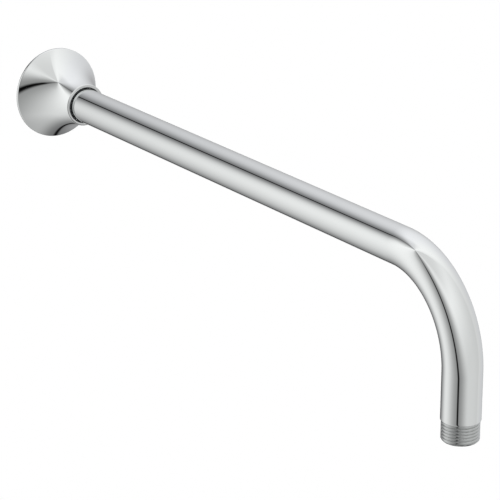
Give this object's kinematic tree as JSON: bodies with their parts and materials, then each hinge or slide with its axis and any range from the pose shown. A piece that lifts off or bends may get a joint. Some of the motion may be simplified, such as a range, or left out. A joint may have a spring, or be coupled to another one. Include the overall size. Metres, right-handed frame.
{
  "type": "shower arm",
  "caption": "Wall shower arm: a chromed tube bent down at its end, threaded at inlet and outlet, with a trumpet-shaped wall flange that slides along it.",
  "frame": {"origin": "centre of the flange's wall face, on the axis of the straight run", "axes": "-Y out from the wall along the straight run, -Z down the outlet, +X across the arm"},
  "size_m": [0.0596, 0.453, 0.1227],
  "materials": {
    "tube_chrome": "mirror-polished chrome plate on brass",
    "thread_chrome": "plated but unpolished cut thread",
    "flange_chrome": "mirror-polished chrome plate outside, plain plate inside",
    "ring_rubber": "matt black rubber"
  },
  "bodies": {
    "arm": {"arm_tube": "tube_chrome", "inlet_nipple": "thread_chrome", "outlet_nipple": "thread_chrome"},
    "flange": {"wall_flange": "flange_chrome", "flange_o_ring": "ring_rubber"}
  },
  "joints": [
    {"name": "flange_slide", "type": "slide", "parent": "arm", "child": "flange", "axis": [0, -1, 0], "range_m": [0, 0.33]}
  ]
}
